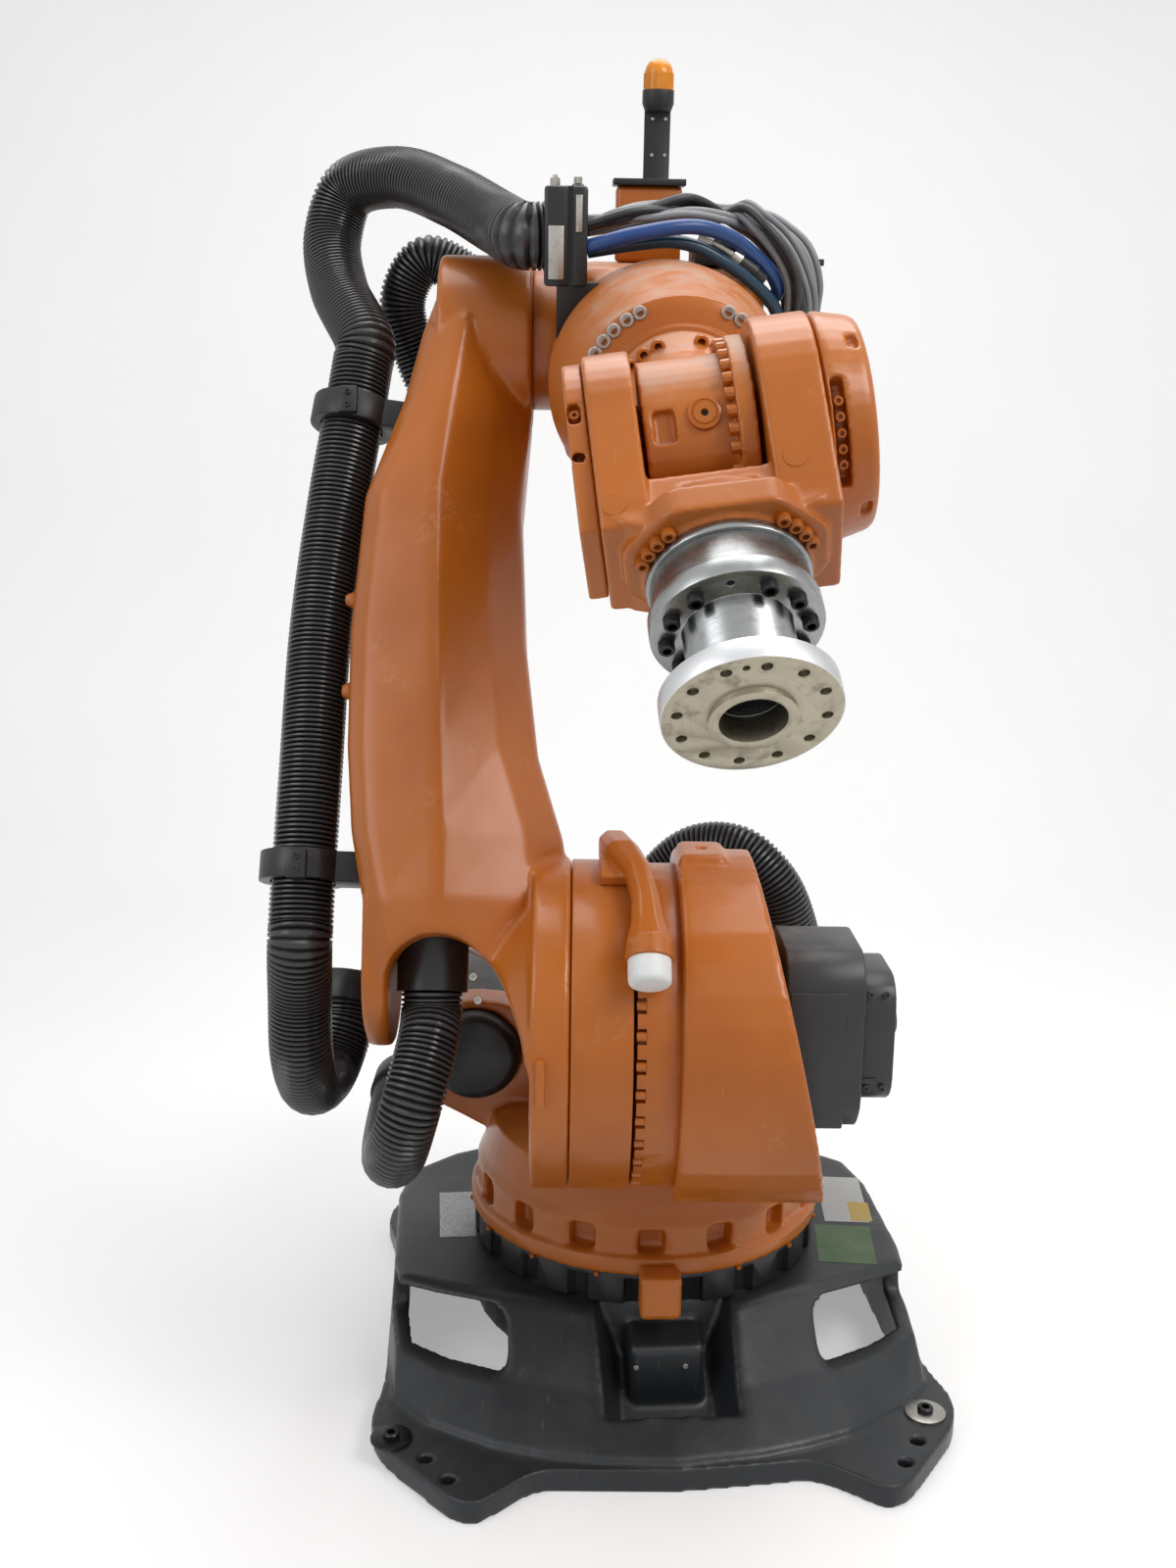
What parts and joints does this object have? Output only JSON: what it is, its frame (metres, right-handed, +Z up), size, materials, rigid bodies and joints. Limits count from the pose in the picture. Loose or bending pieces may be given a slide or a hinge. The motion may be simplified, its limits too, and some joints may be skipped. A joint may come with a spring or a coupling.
{
  "type": "industrial robot arm",
  "caption": "Six-axis floor-standing industrial robot arm with a hose pack along its arm, a signal beacon and a tool adapter on its wrist flange",
  "frame": {"origin": "on the first axis, at the underside of the base", "axes": "+X forward along the arm, +Z up"},
  "size_m": [2.0533, 1.2401, 2.4211],
  "materials": {
    "rotating_column": "satin orange paint with wear and grime",
    "slewing_stop": "satin orange paint with wear and grime",
    "a2_gearbox": "satin orange paint with wear and grime",
    "link_arm": "satin orange paint with wear and grime",
    "link_hub_ring": "satin orange paint with wear and grime",
    "buffer_horn": "satin orange paint with wear and grime",
    "forearm_housing": "satin orange paint with wear and grime",
    "forearm_front_ring": "satin orange paint with wear and grime",
    "beacon_plinth": "satin orange paint with wear and grime",
    "wrist_neck": "satin orange paint with wear and grime",
    "hand_fork": "satin orange paint with wear and grime",
    "hand_cover_left": "satin orange paint with wear and grime",
    "hand_cover_right": "satin orange paint with wear and grime",
    "base_frame": "dark grey paint with wear",
    "connection_panel": "dark grey paint with wear",
    "a2_motor": "dark grey paint with wear",
    "a2_motor_cover": "dark grey paint with wear",
    "elbow_gearbox": "dark grey paint with wear",
    "a4_motor": "dark grey paint with wear",
    "a5_motor": "dark grey paint with wear",
    "a6_motor": "dark grey paint with wear",
    "counterbalance_cylinder": "dark grey paint with wear",
    "slewing_rim": "black paint",
    "beacon_bracket": "black paint",
    "connector_plate": "black paint",
    "return_clamp": "black plastic",
    "link_duct": "black plastic",
    "link_clamp_lower": "black plastic",
    "link_clamp_upper": "black plastic",
    "forearm_hose_clamp": "black plastic",
    "column_hose_loop": "black hose jacket",
    "link_hose": "black hose jacket",
    "shoulder_hose_loop": "black hose jacket",
    "inner_hose_loop": "black hose jacket",
    "elbow_hose_loop": "black hose jacket",
    "rear_hose_loop": "black hose jacket",
    "signal_cables": "black hose jacket",
    "air_hose": "blue plastic tube",
    "end_stop_buffer": "off-white buffer",
    "beacon_dome": "amber lens",
    "tool_flange": "turned steel",
    "tool_adapter": "turned steel",
    "adapter_plate": "turned steel"
  },
  "bodies": {
    "base": {"base_frame": "base_frame", "slewing_rim": "slewing_rim", "connection_panel": "connection_panel"},
    "column": {"rotating_column": "rotating_column", "slewing_stop": "slewing_stop", "counterbalance_cylinder": "counterbalance_cylinder", "a2_gearbox": "a2_gearbox", "a2_motor": "a2_motor", "a2_motor_cover": "a2_motor_cover", "return_clamp": "return_clamp", "column_hose_loop": "column_hose_loop"},
    "link": {"link_arm": "link_arm", "link_hub_ring": "link_hub_ring", "buffer_horn": "buffer_horn", "end_stop_buffer": "end_stop_buffer", "link_duct": "link_duct", "link_clamp_lower": "link_clamp_lower", "link_clamp_upper": "link_clamp_upper", "link_hose": "link_hose", "shoulder_hose_loop": "shoulder_hose_loop", "inner_hose_loop": "inner_hose_loop"},
    "forearm": {"forearm_housing": "forearm_housing", "forearm_front_ring": "forearm_front_ring", "elbow_gearbox": "elbow_gearbox", "a4_motor": "a4_motor", "a5_motor": "a5_motor", "a6_motor": "a6_motor", "forearm_hose_clamp": "forearm_hose_clamp", "beacon_plinth": "beacon_plinth", "beacon_bracket": "beacon_bracket", "beacon_dome": "beacon_dome", "connector_plate": "connector_plate", "signal_cables": "signal_cables", "air_hose": "air_hose", "elbow_hose_loop": "elbow_hose_loop", "rear_hose_loop": "rear_hose_loop"},
    "wrist": {"wrist_neck": "wrist_neck"},
    "hand": {"hand_fork": "hand_fork", "hand_cover_left": "hand_cover_left", "hand_cover_right": "hand_cover_right"},
    "tool": {"tool_flange": "tool_flange", "tool_adapter": "tool_adapter", "adapter_plate": "adapter_plate"}
  },
  "joints": [
    {"name": "a1_base_turn", "type": "hinge", "parent": "base", "child": "column", "pos_m": [0, 0, 0.3], "axis": [0, 0, 1], "range_deg": [-185, 185], "deforming": ["column_hose_loop"]},
    {"name": "a2_shoulder", "type": "hinge", "parent": "column", "child": "link", "pos_m": [0.35, 0, 0.75], "axis": [0, 1, 0], "range_deg": [-34.2, 111.8], "deforming": ["shoulder_hose_loop", "inner_hose_loop"]},
    {"name": "a3_elbow", "type": "hinge", "parent": "link", "child": "forearm", "pos_m": [-0.11421, 0, 1.91061], "axis": [0, -1, 0], "range_deg": [-32.5, 241.5], "deforming": ["elbow_hose_loop", "rear_hose_loop"]},
    {"name": "a4_forearm_roll", "type": "hinge", "parent": "forearm", "child": "wrist", "pos_m": [0.97056, 0, 1.72007], "axis": [0.9923, 0, -0.1236], "range_deg": [-358.3, 341.7]},
    {"name": "a5_wrist_bend", "type": "hinge", "parent": "wrist", "child": "hand", "pos_m": [0.97056, 0, 1.72007], "axis": [0.0178, 0.9895, 0.1432], "range_deg": [-161.5, 88.5]},
    {"name": "a6_flange_turn", "type": "hinge", "parent": "hand", "child": "tool", "pos_m": [1.13729, 0.01975, 1.56288], "axis": [0.7249, 0.0859, -0.6834], "range_deg": [-350, 350]}
  ]
}
